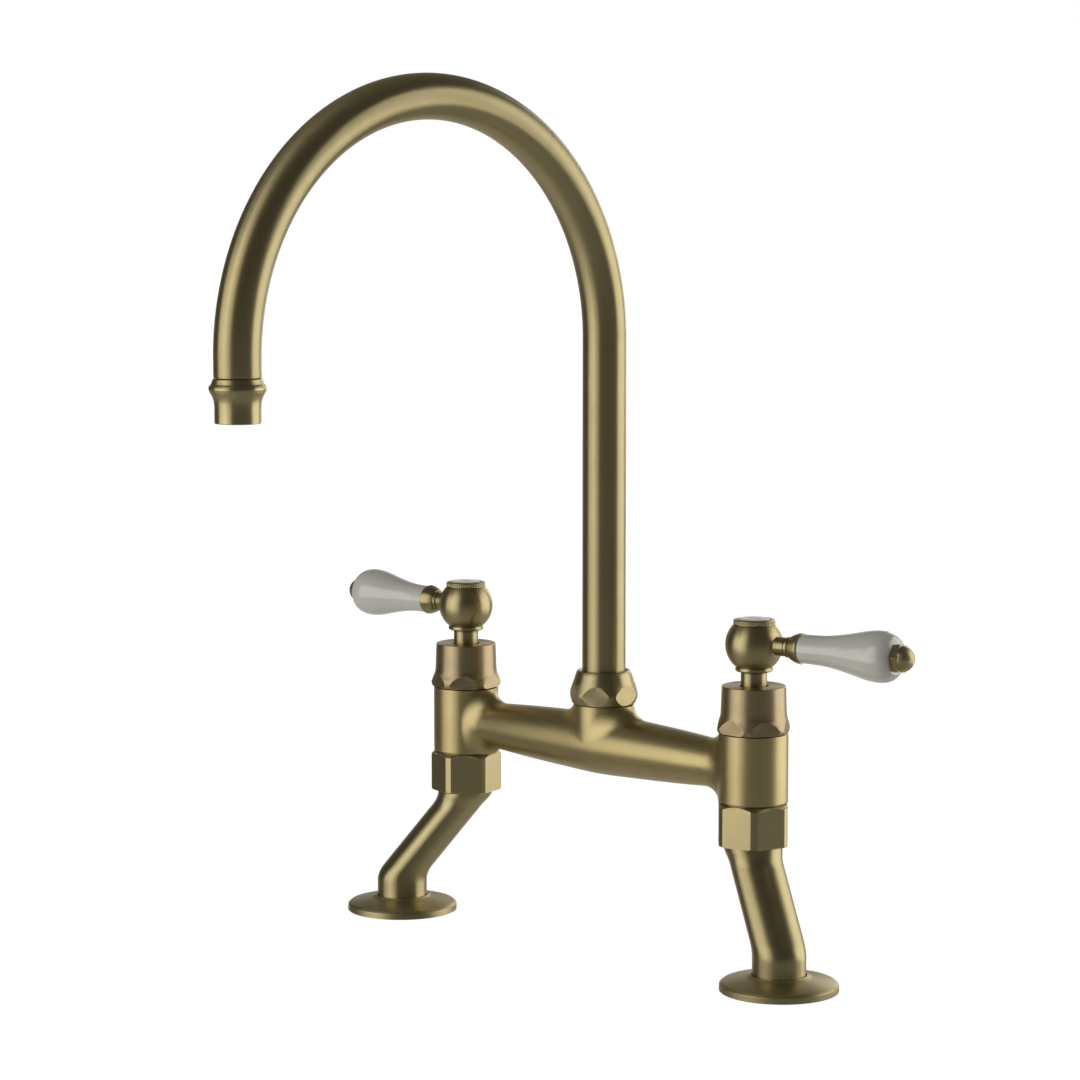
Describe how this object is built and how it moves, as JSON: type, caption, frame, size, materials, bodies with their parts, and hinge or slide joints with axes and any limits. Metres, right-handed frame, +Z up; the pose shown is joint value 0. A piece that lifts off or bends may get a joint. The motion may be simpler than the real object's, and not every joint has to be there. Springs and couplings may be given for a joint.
{
  "type": "bridge kitchen faucet",
  "caption": "Deck-standing bridge mixer tap: hollow bridge with lever valves, a swivelling swan-neck spout and cranked legs on round flanges.",
  "frame": {"origin": "centre of the footprint box, on the deck plane under the flanges", "axes": "+X along the bridge to the viewer's right, -Y the way the spout points at rest, +Z up"},
  "size_m": [0.3792, 0.2744, 0.4371],
  "materials": {
    "brass": "brushed satin antique brass",
    "bronze": "brushed satin brass, slightly warmer",
    "cast_brass": "machined, unplated",
    "porcelain": "glossy glazed porcelain",
    "ceramic": "lapped alumina",
    "rubber": "matte",
    "fibre": "matte",
    "nylon": "matte",
    "steel": "brushed"
  },
  "bodies": {
    "fixed": {"bridge_body": "brass", "spout_collar_nut": "brass", "swivel_washer": "nylon", "left_bell_shroud": "bronze", "left_cartridge_body": "cast_brass", "left_seat_seal": "rubber", "left_fixed_disc": "ceramic", "left_union_nut": "brass", "left_union_washer": "fibre", "left_cranked_leg": "brass", "left_deck_flange": "brass", "left_deck_gasket": "rubber", "right_bell_shroud": "bronze", "right_cartridge_body": "cast_brass", "right_seat_seal": "rubber", "right_fixed_disc": "ceramic", "right_union_nut": "brass", "right_union_washer": "fibre", "right_cranked_leg": "brass", "right_deck_flange": "brass", "right_deck_gasket": "rubber"},
    "spout": {"spout_tube": "brass", "spout_tail": "cast_brass", "spout_oring_lower": "rubber", "spout_oring_upper": "rubber", "outlet_nozzle": "brass", "aerator_housing": "nylon", "aerator_screen": "steel"},
    "left_handle": {"left_turning_disc": "ceramic", "left_valve_spindle": "cast_brass", "left_handle_hub": "brass", "left_handle_screw": "steel", "left_index_ring": "brass", "left_index_disc": "porcelain", "left_lever_neck": "brass", "left_lever_grip": "porcelain", "left_lever_tie_rod": "steel", "left_acorn_nut": "brass"},
    "right_handle": {"right_turning_disc": "ceramic", "right_valve_spindle": "cast_brass", "right_handle_hub": "brass", "right_handle_screw": "steel", "right_index_ring": "brass", "right_index_disc": "porcelain", "right_lever_neck": "brass", "right_lever_grip": "porcelain", "right_lever_tie_rod": "steel", "right_acorn_nut": "brass"}
  },
  "joints": [
    {"name": "spout_swivel", "type": "hinge", "parent": "fixed", "child": "spout", "pos_m": [0.00052, 0.11381, 0.128], "axis": [0, 0, 1], "continuous": true},
    {"name": "left_valve_turn", "type": "hinge", "parent": "fixed", "child": "left_handle", "pos_m": [-0.10098, 0.11381, 0.15], "axis": [0, 0, 1], "range_deg": [0, 90]},
    {"name": "right_valve_turn", "type": "hinge", "parent": "fixed", "child": "right_handle", "pos_m": [0.10202, 0.11381, 0.15], "axis": [0, 0, 1], "range_deg": [-90, 0]}
  ]
}
